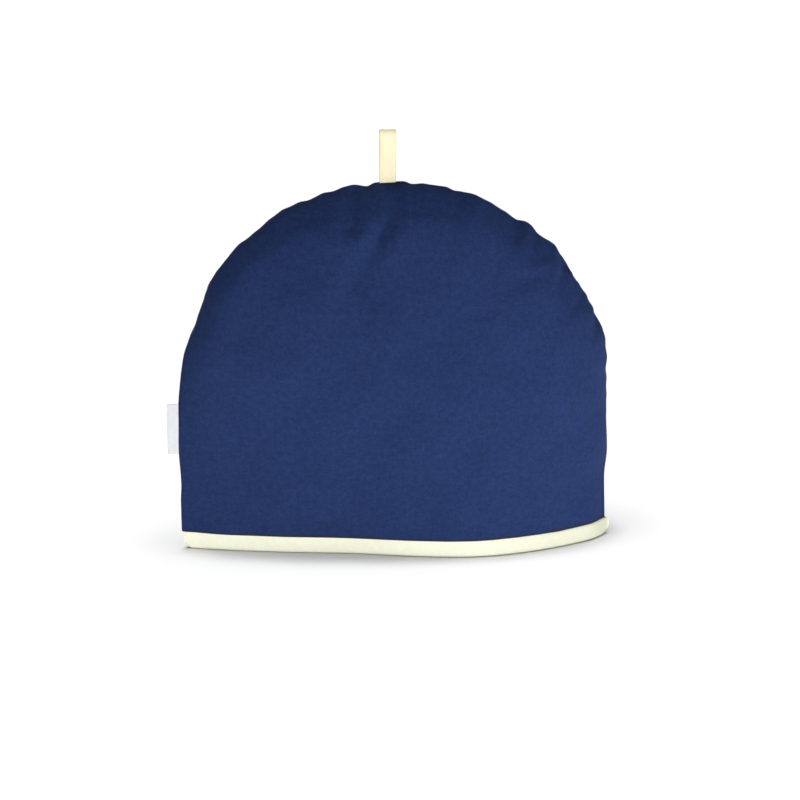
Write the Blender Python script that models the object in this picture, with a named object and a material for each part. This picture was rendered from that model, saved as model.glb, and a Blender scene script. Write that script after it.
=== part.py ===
"""A padded tea cosy, standing open on its bound hem.

Two padded cloth panels bow out from one seam, which runs from the left hem corner over the
top to the right hem corner. A folded tape binds the hem, a second folded tape stands up as
the hanging loop, and a folded ribbon tab sits in the left seam.
Sizes are in metres. +Z is up, the front panel faces -Y, and the seam lies in one X-Z plane.
"""

import math

import bmesh
import bpy
import numpy as np

# Outline of the seam: two straight sides and a half circle between them.
HALF_WIDTH = 0.1555
HEIGHT = 0.2626
SHOULDER = HEIGHT - HALF_WIDTH

# The padded wall, and the narrow gap that is kept wherever two pieces touch.
WALL = 0.0060
EDGE_SHARE = 1.7
GAP = 0.0003

# The hem binding, a tape folded over the edge of both panels and a little proud of their faces.
BINDING_HEIGHT = 0.0118
BINDING_CLOTH = 0.0012
BINDING_PROUD = 0.0003
BINDING_ROUND = 0.0008

# The panels' lower edge, pressed thinner inside the binding, and the height where it is full again.
PRESSED_WALL = 0.0032
BINDING_PLAY = 0.0009
PRESSED_INSET = BINDING_CLOTH + BINDING_PLAY - BINDING_PROUD
PANEL_FOOT = BINDING_CLOTH + GAP
FULL_ABOVE = 0.0160

# The hem stands a little to the right of the body above it.
HEM_SHIFT = 0.0024
HEM_SHIFT_LOW = 0.0040
HEM_SHIFT_HIGH = 0.0200

# How each panel bows out of the seam's plane. The powers say how full the side edges are, the
# belly is a fuller stretch around one height, and the lean moves the fullest place sideways.
PANELS = {
    "front_panel": {
        "side": -1,
        "depth": 0.0495,
        "belly": 0.0050,
        "lean": 0.40,
        "left_power": 0.85,
        "right_power": 0.63,
    },
    "back_panel": {
        "side": 1,
        "depth": 0.0510,
        "belly": 0.0040,
        "lean": 0.10,
        "left_power": 0.78,
        "right_power": 0.66,
    },
}
BELLY_HEIGHT = 0.0950
BELLY_REACH = 0.0550
LEAN_TAPER = 0.7

# Towards the top both panels turn over more quickly beside the seam and are flatter inside it.
TOP_POWER = 0.50
TOP_BEGINS = 0.060
TOP_FULL = 0.170

# How far out of the seam's plane a panel is before waves and troughs have their full depth.
WAVES_BEGIN = 0.0120

# Slow waves of the front hem: where across, how much further out, and how wide.
HEM_WAVES = (
    {"x": -0.146, "out": 0.0036, "width": 0.008},
    {"x": -0.132, "out": 0.0026, "width": 0.012},
    {"x": -0.100, "out": 0.0018, "width": 0.024},
    {"x": -0.036, "out": -0.0032, "width": 0.024},
    {"x": 0.050, "out": 0.0024, "width": 0.022},
    {"x": 0.145, "out": 0.0043, "width": 0.012},
)
HEM_WAVE_REACH = 0.0600

# The right hem corner is pulled forward, and a little inwards, so that the front hem ends bluntly.
CORNER_FORWARD = 0.0170
CORNER_INWARD = 0.0028
CORNER_BEGINS = 0.1100
CORNER_REACH = 0.0450
CORNER_POWER = 3.0

# The seam's uneven outline: one row for each crest and dent, with its place along the seam from
# the left hem corner and its step outwards.
SEAM_OUTLINE = (
    {"along": 0.000, "out": 0.0000},
    {"along": 0.050, "out": -0.0004},
    {"along": 0.080, "out": 0.0006},
    {"along": 0.128, "out": -0.0008},
    {"along": 0.168, "out": -0.0017},
    {"along": 0.202, "out": 0.0028},
    {"along": 0.217, "out": 0.0027},
    {"along": 0.228, "out": 0.0036},
    {"along": 0.244, "out": 0.0022},
    {"along": 0.270, "out": 0.0037},
    {"along": 0.291, "out": 0.0014},
    {"along": 0.320, "out": 0.0020},
    {"along": 0.332, "out": -0.0008},
    {"along": 0.352, "out": 0.0004},
    {"along": 0.396, "out": -0.0010},
    {"along": 0.412, "out": 0.0003},
    {"along": 0.444, "out": -0.0021},
    {"along": 0.456, "out": 0.0009},
    {"along": 0.465, "out": -0.0007},
    {"along": 0.480, "out": 0.0017},
    {"along": 0.508, "out": -0.0011},
    {"along": 0.552, "out": 0.0031},
    {"along": 0.582, "out": 0.0009},
    {"along": 0.612, "out": 0.0009},
    {"along": 0.640, "out": 0.0019},
    {"along": 0.660, "out": 0.0000},
    {"along": 0.690, "out": 0.0006},
)

# The power by which the outline's steps fade from the seam inwards.
SEAM_FADE = 6

# Soft troughs in the front panel, each from one point to another in the seam's plane.
TROUGHS = (
    {"start": (-0.029, 0.260), "end": (-0.031, 0.232), "depth": 0.0022, "width": 0.0060},
    {"start": (0.000, 0.241), "end": (-0.024, 0.200), "depth": 0.0024, "width": 0.0060},
    {"start": (0.112, 0.214), "end": (0.086, 0.196), "depth": 0.0024, "width": 0.0060},
)

# The grid of each panel.
COLUMNS = 36
DOME_ROWS = 13
SIDE_HEIGHTS = (PANEL_FOOT, 0.0105, 0.0130, FULL_ABOVE, 0.034, 0.052, 0.071, 0.090, SHOULDER)

# The hanging loop at the top of the seam.
LOOP_X = -0.0052
LOOP_WIDTH = 0.0114
LOOP_CLOTH = 0.0012
LOOP_HEIGHT = 0.0372
LOOP_SEATED = 0.0050
LOOP_HALF_OPEN = 0.0040
LOOP_CLOSED_SHARE = 0.1
LOOP_LEG_STEPS = 12
LOOP_TURN_STEPS = 8

# The ribbon tab in the left seam.
TAB_CENTRE_Z = 0.0890
TAB_HEIGHT = 0.0364
TAB_PROUD = 0.0083
TAB_SEATED = 0.0040
TAB_CLOTH = 0.0010
TAB_FOLD_STEPS = 6

# The whole cosy stands with the middle of its outer box over the origin.
SHIFT_X = 0.0037


def smooth_step(value, low, high):
    """Rise softly from 0 at low to 1 at high."""
    share = np.clip((value - low) / (high - low), 0.0, 1.0)
    return share * share * (3.0 - 2.0 * share)


def hump(distance, width):
    """A soft hump of height 1 at distance 0."""
    return np.exp(-0.5 * (distance / width) ** 2)


def half_width(inset):
    """The half width of a panel's face at an inset, which counts for more at its sharp edges."""
    return HALF_WIDTH - EDGE_SHARE * inset


def bow(panel, inset, x, z):
    """How far a panel stands out of the seam's plane, at an inset from its outer face."""
    half = half_width(inset)
    rise = np.maximum(z - SHOULDER, 0.0)
    reach = np.sqrt(np.maximum(half**2 - rise**2, 1e-12))
    lean = panel["lean"] * (1.0 - LEAN_TAPER * z / HEIGHT)
    leaned = x - lean * (reach**2 - x**2) / reach
    fullness = np.clip((reach**2 - leaned**2) / half**2, 0.0, 1.0)
    rightness = np.clip(0.5 + 0.5 * x / half, 0.0, 1.0)
    power = panel["left_power"] + (panel["right_power"] - panel["left_power"]) * rightness
    power = power + (TOP_POWER - power) * smooth_step(z, TOP_BEGINS, TOP_FULL)
    depth = panel["depth"] + panel["belly"] * hump(z - BELLY_HEIGHT, BELLY_REACH) - inset
    return depth * fullness**power


def hem_wave(panel, x, z):
    """The slow waves of the front hem, which fade out up the panel."""
    if panel["side"] > 0:
        return 0.0 * x
    waves = sum(wave["out"] * hump(x - wave["x"], wave["width"]) for wave in HEM_WAVES)
    return waves * hump(z, HEM_WAVE_REACH)


def seam_place(x, z):
    """Where a point lies: its place along the seam, and the outward direction there."""
    angle = np.where(z > SHOULDER, np.arctan2(z - SHOULDER, -x), 0.0)
    angle = np.where((z <= SHOULDER) & (x > 0.0), math.pi, angle)
    side = np.where(x > 0.0, 2.0 * SHOULDER + math.pi * HALF_WIDTH - z, z)
    along = np.where(z > SHOULDER, SHOULDER + HALF_WIDTH * angle, side)
    return along, -np.cos(angle), np.sin(angle)


def seam_step(x, z):
    """The uneven outline's step outwards, strongest at the seam."""
    along, out_x, out_z = seam_place(x, z)
    step = 0.0 * along
    for here, after in zip(SEAM_OUTLINE, SEAM_OUTLINE[1:]):
        share = smooth_step(along, here["along"], after["along"])
        between = (along >= here["along"]) & (along < after["along"])
        step = np.where(between, here["out"] + (after["out"] - here["out"]) * share, step)
    centre_z = np.maximum(z - SHOULDER, 0.0)
    near_seam = np.clip(np.hypot(x, centre_z) / HALF_WIDTH, 0.0, 1.0) ** SEAM_FADE
    return step * near_seam * out_x, step * near_seam * out_z


def corner_pull(x, z):
    """How much of the right hem corner's pull reaches a point."""
    return smooth_step(x, CORNER_BEGINS, HALF_WIDTH) * hump(z, CORNER_REACH)


def trough_depth(x, z):
    """How deep the soft troughs are at a point of the front panel."""
    total = 0.0 * x
    for row in TROUGHS:
        start = np.array(row["start"])
        run = np.array(row["end"]) - start
        share = ((x - start[0]) * run[0] + (z - start[1]) * run[1]) / (run @ run)
        share = np.clip(share, 0.0, 1.0)
        away = np.hypot(x - start[0] - share * run[0], z - start[1] - share * run[1])
        total = total + row["depth"] * hump(away, row["width"])
    return total


def standing(panel, inset, x, z, least):
    """The points of a face of the cosy as it stands, at least so far out of the seam's plane."""
    out = bow(panel, inset, x, z)
    edge = smooth_step(out, 0.0, WAVES_BEGIN)
    out = out + edge * hem_wave(panel, x, z)
    if panel["side"] < 0:
        out = out - edge * trough_depth(x, z)
    step_x, step_z = seam_step(x, z)
    shift = HEM_SHIFT * (1.0 - smooth_step(z, HEM_SHIFT_LOW, HEM_SHIFT_HIGH))
    corner = corner_pull(x, z)
    pulled = CORNER_FORWARD * corner
    if panel["side"] < 0:
        out = (out**CORNER_POWER + pulled**CORNER_POWER) ** (1.0 / CORNER_POWER) - pulled
    y = panel["side"] * np.maximum(out, least) - pulled
    placed_x = x + step_x + shift - CORNER_INWARD * corner
    return np.stack([placed_x, y, z + step_z], axis=-1)


def panel_grid(panel, inside):
    """The points of one face of a panel, row by row from the hem up."""
    across = np.sin(np.linspace(-math.pi / 2, math.pi / 2, COLUMNS + 1))
    rise = np.sin(np.linspace(0.0, math.pi / 2, DOME_ROWS + 1))[1:]
    rows = []
    for height in SIDE_HEIGHTS:
        open_share = smooth_step(height, BINDING_HEIGHT, FULL_ABOVE)
        inset = PRESSED_INSET * (1.0 - open_share)
        if inside:
            inset = (PRESSED_INSET + PRESSED_WALL) * (1.0 - open_share) + WALL * open_share
        rows.append((inset, half_width(inset) * across, np.full(COLUMNS + 1, height)))
    inset = WALL if inside else 0.0
    half = half_width(inset)
    for level in rise:
        x = half * across * math.sqrt(1.0 - level**2 / 2)
        z = SHOULDER + half * level * np.sqrt(1.0 - across**2 / 2)
        rows.append((inset, x, z))

    return np.array([standing(panel, inset, x, z, GAP / 2) for inset, x, z in rows])


def material(name, colour, roughness):
    """A plain cloth material."""
    cloth = bpy.data.materials.new(name)
    cloth.use_nodes = True
    shader = cloth.node_tree.nodes["Principled BSDF"]
    shader.inputs["Base Color"].default_value = (*colour, 1.0)
    shader.inputs["Roughness"].default_value = roughness
    shader.inputs["Metallic"].default_value = 0.0
    return cloth


def add_object(name, points, faces, cloth, parent):
    """One closed solid from its points and faces, with all faces turned outwards."""
    mesh = bpy.data.meshes.new(name)
    mesh.from_pydata([tuple(point) for point in points], [], faces)
    mesh.materials.append(cloth)
    work = bmesh.new()
    work.from_mesh(mesh)
    bmesh.ops.recalc_face_normals(work, faces=work.faces)
    work.to_mesh(mesh)
    work.free()
    mesh.shade_smooth()
    mesh.set_sharp_from_angle(angle=math.radians(50))
    piece = bpy.data.objects.new(name, mesh)
    bpy.context.collection.objects.link(piece)
    piece.parent = parent
    return piece


def add_panel(name, cloth, parent):
    """One padded panel: an outer and an inner face, joined along the seam and the hem."""
    panel = PANELS[name]
    outer = panel_grid(panel, inside=False)
    inner = panel_grid(panel, inside=True)
    row_count, column_count = outer.shape[:2]
    points = np.concatenate([outer.reshape(-1, 3), inner.reshape(-1, 3)])
    start_inner = row_count * column_count

    def at(row, column, start):
        return start + row * column_count + column

    faces = []
    for start in (0, start_inner):
        for row in range(row_count - 1):
            for column in range(column_count - 1):
                corners = [
                    at(row, column, start),
                    at(row, column + 1, start),
                    at(row + 1, column + 1, start),
                    at(row + 1, column, start),
                ]
                faces.append(corners if start == 0 else corners[::-1])

    rim = [(0, column) for column in range(column_count)]
    rim += [(row, column_count - 1) for row in range(1, row_count)]
    rim += [(row_count - 1, column) for column in range(column_count - 2, -1, -1)]
    rim += [(row, 0) for row in range(row_count - 2, 0, -1)]
    for here, there in zip(rim, rim[1:] + rim[:1]):
        faces.append([at(*there, 0), at(*here, 0), at(*here, start_inner), at(*there, start_inner)])
    return add_object(name, points, faces, cloth, parent)


def hem_ring(inset, height):
    """One closed line round the hem, front and then back, at an inset from the panels' outer face."""
    across = np.sin(np.linspace(-math.pi / 2, math.pi / 2, COLUMNS + 1))
    ring = []
    for name, places in (("front_panel", across[:-1]), ("back_panel", across[::-1][:-1])):
        x = half_width(inset) * places
        z = np.full(len(places), height)
        ring.append(standing(PANELS[name], inset, x, z, 0.0))
    return np.concatenate(ring)


def add_binding(cloth, parent):
    """The tape folded over the hem: a U-shaped section carried round one closed ring."""
    face = -BINDING_PROUD
    lining_side = face + 2 * BINDING_CLOTH + 2 * BINDING_PLAY + PRESSED_WALL
    top = BINDING_HEIGHT
    section = (
        {"inset": face + BINDING_ROUND, "height": 0.0},
        {"inset": face, "height": BINDING_ROUND},
        {"inset": face, "height": top - BINDING_ROUND / 2},
        {"inset": face + BINDING_CLOTH / 2, "height": top},
        {"inset": face + BINDING_CLOTH, "height": top - BINDING_ROUND / 2},
        {"inset": face + BINDING_CLOTH, "height": BINDING_CLOTH},
        {"inset": lining_side - BINDING_CLOTH, "height": BINDING_CLOTH},
        {"inset": lining_side - BINDING_CLOTH, "height": top - BINDING_ROUND / 2},
        {"inset": lining_side - BINDING_CLOTH / 2, "height": top},
        {"inset": lining_side, "height": top - BINDING_ROUND / 2},
        {"inset": lining_side, "height": BINDING_ROUND},
        {"inset": lining_side - BINDING_ROUND, "height": 0.0},
    )
    rings = [hem_ring(row["inset"], row["height"]) for row in section]
    ring_size = len(rings[0])
    faces = []
    for ring in range(len(rings)):
        next_ring = (ring + 1) % len(rings)
        for place in range(ring_size):
            next_place = (place + 1) % ring_size
            faces.append([
                ring * ring_size + place,
                ring * ring_size + next_place,
                next_ring * ring_size + next_place,
                next_ring * ring_size + place,
            ])
    return add_object("hem_binding", np.concatenate(rings), faces, cloth, parent)


def strip_outline(centre_line, thickness):
    """The closed outline of a strip of even thickness along an open line in a plane."""
    line = np.array(centre_line)
    along = np.gradient(line, axis=0)
    along /= np.linalg.norm(along, axis=1, keepdims=True)
    normal = np.stack([-along[:, 1], along[:, 0]], axis=-1)
    one_side = line + normal * thickness / 2
    other_side = line - normal * thickness / 2
    return np.concatenate([one_side, other_side[::-1]])


def strip_faces(count):
    """Faces of a strip whose outline has two long sides of count points, pushed out to two ends."""
    size = 2 * count
    faces = []
    for place in range(size):
        after = (place + 1) % size
        faces.append([place, after, after + size, place + size])
    for place in range(count - 1):
        mirror = size - 1 - place
        faces.append([place, place + 1, mirror - 1, mirror])
        faces.append([size + place, size + mirror, size + mirror - 1, size + place + 1])
    return faces


def add_loop(cloth, parent):
    """The hanging loop: a tape folded over, open like a drop, with both ends in the seam."""
    closed = LOOP_CLOTH / 2 + GAP / 2
    rounding = LOOP_HALF_OPEN - LOOP_CLOTH / 2
    leg_foot = HEIGHT - LOOP_SEATED
    leg_top = HEIGHT + LOOP_HEIGHT - LOOP_CLOTH / 2 - rounding
    share = np.linspace(0.0, 1.0, LOOP_LEG_STEPS)
    leg_y = closed + (rounding - closed) * smooth_step(share, LOOP_CLOSED_SHARE, 1.0)
    leg_z = leg_foot + share * (leg_top - leg_foot)
    turn = np.linspace(0.0, math.pi, LOOP_TURN_STEPS + 1)[1:-1]
    line = list(zip(leg_y, leg_z))
    line += [(rounding * math.cos(a), leg_top + rounding * math.sin(a)) for a in turn]
    line += list(zip(-leg_y[::-1], leg_z[::-1]))
    outline = strip_outline(line, LOOP_CLOTH)
    points = [
        (LOOP_X + end * LOOP_WIDTH / 2, y, z) for end in (-1, 1) for y, z in outline
    ]
    return add_object("hang_loop", points, strip_faces(len(line)), cloth, parent)


def add_tab(cloth, parent):
    """The ribbon tab: a ribbon folded once, with both ends in the left seam."""
    layer = TAB_CLOTH / 2 + GAP / 2
    fold_x = -(HALF_WIDTH + TAB_PROUD) + TAB_CLOTH / 2 + layer
    root_x = -(HALF_WIDTH - TAB_SEATED)
    turn = np.linspace(-math.pi / 2, math.pi / 2, TAB_FOLD_STEPS + 1)
    line = [(root_x, -layer), ((root_x + fold_x) / 2, -layer)]
    line += [(fold_x - layer * math.cos(a), layer * math.sin(a)) for a in turn]
    line += [((root_x + fold_x) / 2, layer), (root_x, layer)]
    outline = strip_outline(line, TAB_CLOTH)
    points = [
        (x, y, TAB_CENTRE_Z + end * TAB_HEIGHT / 2) for end in (-1, 1) for x, y in outline
    ]
    return add_object("side_label", points, strip_faces(len(line)), cloth, parent)


def add_pocket(name, low, high, parent, panels):
    """Cut a small pocket into both panels, where a folded tape sits in the seam."""
    size = [high[axis] - low[axis] for axis in range(3)]
    middle = [(high[axis] + low[axis]) / 2 for axis in range(3)]
    mesh = bpy.data.meshes.new(name)
    work = bmesh.new()
    bmesh.ops.create_cube(work, size=1.0)
    bmesh.ops.scale(work, vec=size, verts=work.verts)
    work.to_mesh(mesh)
    work.free()
    cutter = bpy.data.objects.new(name, mesh)
    bpy.context.collection.objects.link(cutter)
    cutter.location = middle
    cutter.parent = parent
    cutter.hide_render = True
    cutter.display_type = "WIRE"
    for panel in panels:
        cut = panel.modifiers.new(name, "BOOLEAN")
        cut.operation = "DIFFERENCE"
        cut.solver = "EXACT"
        cut.object = cutter


def main():
    """Build the cosy."""
    for leftover in list(bpy.data.objects):
        bpy.data.objects.remove(leftover, do_unlink=True)

    cosy = bpy.data.objects.new("cosy_place", None)
    bpy.context.collection.objects.link(cosy)
    cosy.location = (SHIFT_X, 0.0, 0.0)

    navy = material("navy_cotton", (0.021, 0.045, 0.136), 0.9)
    cream = material("cream_binding_tape", (0.87, 0.87, 0.70), 0.85)
    pale = material("cream_loop_tape", (0.90, 0.85, 0.62), 0.85)
    ribbon = material("white_ribbon", (0.80, 0.81, 0.82), 0.55)

    front = add_panel("front_panel", navy, cosy)
    back = add_panel("back_panel", navy, cosy)
    add_binding(cream, cosy)
    add_loop(pale, cosy)
    add_tab(ribbon, cosy)

    loop_half = LOOP_CLOTH + 1.5 * GAP
    add_pocket(
        "loop_pocket",
        (LOOP_X - LOOP_WIDTH / 2 - GAP, -loop_half, HEIGHT - LOOP_SEATED - GAP),
        (LOOP_X + LOOP_WIDTH / 2 + GAP, loop_half, HEIGHT + LOOP_HEIGHT),
        cosy,
        (front, back),
    )
    tab_half = TAB_CLOTH + 1.5 * GAP
    tab_reach = TAB_HEIGHT / 2 + GAP
    add_pocket(
        "tab_pocket",
        (-HALF_WIDTH - TAB_PROUD, -tab_half, TAB_CENTRE_Z - tab_reach),
        (-HALF_WIDTH + TAB_SEATED + GAP, tab_half, TAB_CENTRE_Z + tab_reach),
        cosy,
        (front, back),
    )


main()
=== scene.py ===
"""Looks of a padded navy tea cosy, standing open on its cream bound hem.

Two padded panels meet in one seam over the top, a folded tape binds the hem, a folded tape makes
the hanging loop, and a folded ribbon tab without lettering sits in the left seam.
Sizes are in metres. The front panel faces -Y, and the seam lies in one X-Z plane.
"""

from math import cos, pi, radians, sin, sqrt

import bpy
import numpy as np
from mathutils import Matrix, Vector


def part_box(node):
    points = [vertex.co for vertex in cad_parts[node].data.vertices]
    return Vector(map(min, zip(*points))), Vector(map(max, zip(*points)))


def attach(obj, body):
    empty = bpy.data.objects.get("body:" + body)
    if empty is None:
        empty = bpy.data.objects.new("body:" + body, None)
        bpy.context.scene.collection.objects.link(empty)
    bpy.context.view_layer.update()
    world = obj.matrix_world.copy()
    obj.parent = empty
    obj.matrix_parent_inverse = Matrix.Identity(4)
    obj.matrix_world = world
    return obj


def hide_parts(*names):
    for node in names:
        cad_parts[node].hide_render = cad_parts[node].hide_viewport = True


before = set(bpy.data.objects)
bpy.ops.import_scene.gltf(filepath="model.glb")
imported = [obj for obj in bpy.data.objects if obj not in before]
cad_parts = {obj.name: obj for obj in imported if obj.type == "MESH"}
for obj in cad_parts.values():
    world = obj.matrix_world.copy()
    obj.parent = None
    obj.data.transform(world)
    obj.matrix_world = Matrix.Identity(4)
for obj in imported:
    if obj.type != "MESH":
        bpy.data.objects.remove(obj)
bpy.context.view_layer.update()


def named_rows(columns, *rows):
    """A table as a list of its rows, each with its values under the columns' names."""
    return [dict(zip(columns.split(), row)) for row in rows]


# The loop's box in the frame gives the place of the seam's middle.
LOOP_X = -0.0052
LOOP_LOW, LOOP_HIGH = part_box("hang_loop")
MIDDLE_X = (LOOP_LOW.x + LOOP_HIGH.x) / 2 - LOOP_X

# Outline of the seam: two straight sides and a half circle between them.
HALF_WIDTH = 0.1555
HEIGHT = 0.2626
SHOULDER = HEIGHT - HALF_WIDTH

# The padded wall. An inset counts for more at the panels' sharp side edges.
WALL = 0.0060
EDGE_SHARE = 1.7
SEAM_GAP = 0.00016

# How each panel bows out of the seam's plane. The powers say how full the side edges are, the
# belly is a fuller stretch around one height, and the lean moves the fullest place sideways.
PANELS = {
    "front_panel": {
        "side": -1, "depth": 0.0495, "belly": 0.0050, "lean": 0.40,
        "left_power": 0.85, "right_power": 0.63,
    },
    "back_panel": {
        "side": 1, "depth": 0.0510, "belly": 0.0040, "lean": 0.10,
        "left_power": 0.78, "right_power": 0.66,
    },
}
BELLY_HEIGHT = 0.0950
BELLY_REACH = 0.0550
LEAN_TAPER = 0.7

# Towards the top both panels turn over more quickly beside the seam and are flatter inside it.
TOP_POWER = 0.50
TOP_BEGINS = 0.060
TOP_FULL = 0.170

# How far out of the seam's plane a panel is before its slow waves have their full depth.
WAVES_BEGIN = 0.0120

# Slow waves of the front hem: where across, how much further out, and how wide.
HEM_WAVES = named_rows(
    "x out width",
    (-0.146, 0.0036, 0.008),
    (-0.132, 0.0026, 0.012),
    (-0.100, 0.0018, 0.024),
    (-0.036, -0.0032, 0.024),
    (0.050, 0.0024, 0.022),
    (0.145, 0.0043, 0.012),
)
HEM_WAVE_REACH = 0.0600

# The hem stands a little to the right of the body above it.
HEM_SHIFT = 0.0024
HEM_SHIFT_LOW = 0.0116
HEM_SHIFT_HIGH = 0.0136

# The right hem corner is pulled forward, and a little inwards, so that the front hem ends bluntly.
CORNER_FORWARD = 0.0170
CORNER_INWARD = 0.0032
CORNER_BEGINS = 0.1100
CORNER_REACH = 0.0450
CORNER_POWER = 3.0

# Both ends of the hem are rounded up off the floor.
END_LIFT = 0.0034
END_REACH = 0.0056

# The seam's uneven outline: one row for each crest and dent, with its place along the seam from
# the left hem corner and its step outwards.
SEAM_OUTLINE = named_rows(
    "along out",
    (0.000, 0.0000),
    (0.036, 0.0001),
    (0.048, -0.0005),
    (0.076, 0.0007),
    (0.100, 0.0002),
    (0.126, -0.0007),
    (0.142, -0.0006),
    (0.168, -0.0021),
    (0.184, -0.0006),
    (0.192, 0.0012),
    (0.200, 0.0025),
    (0.215, 0.0027),
    (0.228, 0.0035),
    (0.244, 0.0018),
    (0.270, 0.0032),
    (0.283, 0.0022),
    (0.291, 0.0007),
    (0.300, 0.0020),
    (0.308, 0.0010),
    (0.320, 0.0015),
    (0.332, -0.0014),
    (0.338, 0.0002),
    (0.358, 0.0001),
    (0.364, -0.0013),
    (0.374, -0.0004),
    (0.388, -0.0001),
    (0.396, -0.0016),
    (0.408, 0.0001),
    (0.446, -0.0020),
    (0.456, 0.0010),
    (0.465, -0.0005),
    (0.480, 0.0020),
    (0.488, 0.0006),
    (0.508, -0.0010),
    (0.524, 0.0001),
    (0.536, 0.0006),
    (0.552, 0.0030),
    (0.566, 0.0021),
    (0.582, 0.0001),
    (0.612, 0.0009),
    (0.640, 0.0019),
    (0.660, 0.0000),
    (0.690, 0.0006),
)

# The outline's steps fade inwards, by this power of the distance from the dome's middle.
SEAM_FADE = 6

# Soft folds of each panel, each from one point to another in the seam's plane. Troughs have
# negative rises and ridges positive ones; rises and widths are those at the start and the end.
FOLDS = {
    "front_panel": named_rows(
        "start end rises widths",
        ((-0.0298, 0.2620), (-0.0332, 0.2365), (-0.0026, -0.0034), (0.0042, 0.0048)),
        ((-0.0098, 0.2390), (-0.0318, 0.2020), (-0.0034, -0.0014), (0.0044, 0.0056)),
        ((-0.0190, 0.2425), (-0.0225, 0.2320), (0.0009, 0.0005), (0.0048, 0.0060)),
        ((0.0050, 0.2400), (0.0020, 0.2290), (0.0010, 0.0006), (0.0055, 0.0065)),
        ((0.0895, 0.2292), (0.0990, 0.2205), (-0.0018, -0.0026), (0.0048, 0.0052)),
        ((0.1105, 0.2112), (0.0940, 0.2092), (-0.0036, -0.0012), (0.0048, 0.0056)),
        ((0.1010, 0.2050), (0.0850, 0.2045), (0.0004, 0.0003), (0.0036, 0.0044)),
        ((0.1060, 0.1988), (0.0880, 0.1970), (-0.0018, -0.0013), (0.0042, 0.0050)),
        ((0.1215, 0.2010), (0.1165, 0.1910), (-0.0032, -0.0019), (0.0042, 0.0050)),
        ((0.1310, 0.1760), (0.1200, 0.1720), (-0.0010, -0.0005), (0.0035, 0.0045)),
        ((0.1480, 0.1600), (0.1400, 0.1530), (-0.0030, -0.0014), (0.0036, 0.0045)),
    ),
    "back_panel": named_rows(
        "start end rises widths",
        ((0.030, 0.262), (0.024, 0.226), (-0.0018, -0.0008), (0.0040, 0.0060)),
        ((-0.045, 0.252), (-0.030, 0.214), (-0.0012, -0.0005), (0.0050, 0.0080)),
        ((-0.112, 0.212), (-0.088, 0.200), (-0.0014, -0.0006), (0.0045, 0.0060)),
        ((0.106, 0.218), (0.088, 0.202), (-0.0016, -0.0007), (0.0040, 0.0060)),
        ((0.128, 0.194), (0.112, 0.184), (-0.0012, -0.0005), (0.0040, 0.0060)),
    ),
}

# The wadding's soft roll along the shoulders and the top: how far inside the seam it lies, how
# high it stands and how wide its outer side is. Its inner side is wider by a share.
ROLL_INNER_SHARE = 2.4
SHOULDER_ROLL = named_rows(
    "along inset rise width",
    (0.170, 0.0110, 0.0000, 0.0036),
    (0.198, 0.0110, 0.0012, 0.0036),
    (0.217, 0.0110, 0.0015, 0.0038),
    (0.242, 0.0135, 0.0017, 0.0042),
    (0.270, 0.0160, 0.0018, 0.0046),
    (0.300, 0.0190, 0.0018, 0.0050),
    (0.335, 0.0240, 0.0016, 0.0055),
    (0.375, 0.0240, 0.0015, 0.0055),
    (0.405, 0.0205, 0.0013, 0.0050),
    (0.435, 0.0185, 0.0008, 0.0050),
    (0.455, 0.0185, 0.0000, 0.0050),
)

# How high the seam's small puckers stand, from the left hem corner to the right one.
PUCKERS = named_rows(
    "along height",
    (0.000, 0.00005),
    (0.110, 0.00010),
    (0.200, 0.00020),
    (0.330, 0.00020),
    (0.420, 0.00025),
    (0.480, 0.00050),
    (0.560, 0.00035),
    (0.640, 0.00010),
    (0.703, 0.00005),
)
PUCKER_SPACING = 0.0128
PUCKER_BEGINS = 0.004
PUCKER_REACH = 0.0120
PUCKER_POWER = 1.5
CALM_ABOVE_HEM = 0.02

# Waves that make the puckers' spacing uneven, in shares of a spacing.
PUCKER_DRIFT = named_rows(
    "share length phase",
    (0.35, 0.041, 0.0),
    (0.22, 0.017, 1.3),
)

# The rolled lip beside the seam: its rise, and how far in it is highest and ends.
LIP_RISE = 0.0002
LIP_PEAK = 0.0030
LIP_END = 0.0110

# The wadding's slow unevenness, and the cloth's finer one.
WADDING = {"seed": 11, "spacing": 0.048, "rise": 0.00040}
COCKLE = {"seed": 23, "spacing": 0.017, "rise": 0.00008}
UNEVEN_WAVES = 14
UNEVEN_SPREAD = (0.7, 1.5)

# How far to the side each panel reads the wadding's unevenness, so that the panels differ.
WADDING_OFFSET = 0.3

# How far above the hem and off the seam's plane unevenness and folds have their full height.
WADDING_BEGINS = 0.012
SOFT_BEGINS = 0.010
FOLDS_BEGIN = 0.004

# The hem binding, a tape folded over the edge of both panels.
BINDING_HEIGHT = 0.0124
TAPE_CLOTH = 0.0009
TAPE_PROUD = 0.0003
TAPE_PUFF = 0.0003
TAPE_CORNER = 0.0018
TAPE_PLAY = 0.0003
LINING_SIDE = 0.0064
HEM_STITCH_INSET = 0.0016
RING_STEPS = 300
RING_SIZE = 2 * RING_STEPS
LEG_POINTS = 9
TURN_POINTS = 7
CAP_POINTS = 6

# The tape's unevenness: waves that close on themselves round the hem.
WOBBLE_RISE = 0.00022
WOBBLE_PUFF = 0.35
TAPE_WOBBLE = named_rows(
    "share turns phase",
    (0.5, 9, 0.4),
    (0.3, 23, 2.0),
    (0.2, 41, 0.0),
)

# The panels' lower edge: pressed inside the binding, and full again just above it.
FOOT = 0.0022
PRESSED_OUTER = TAPE_CLOTH - TAPE_PROUD + TAPE_PLAY
PRESSED_INNER = LINING_SIDE - TAPE_CLOTH - TAPE_PLAY
TUCK_LOW = 0.0118
FULL_ABOVE = 0.0132
HEM_ROLL = 0.0005
HEM_ROLL_ABOVE = 0.0006
HEM_ROLL_WIDTH = 0.0028

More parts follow.
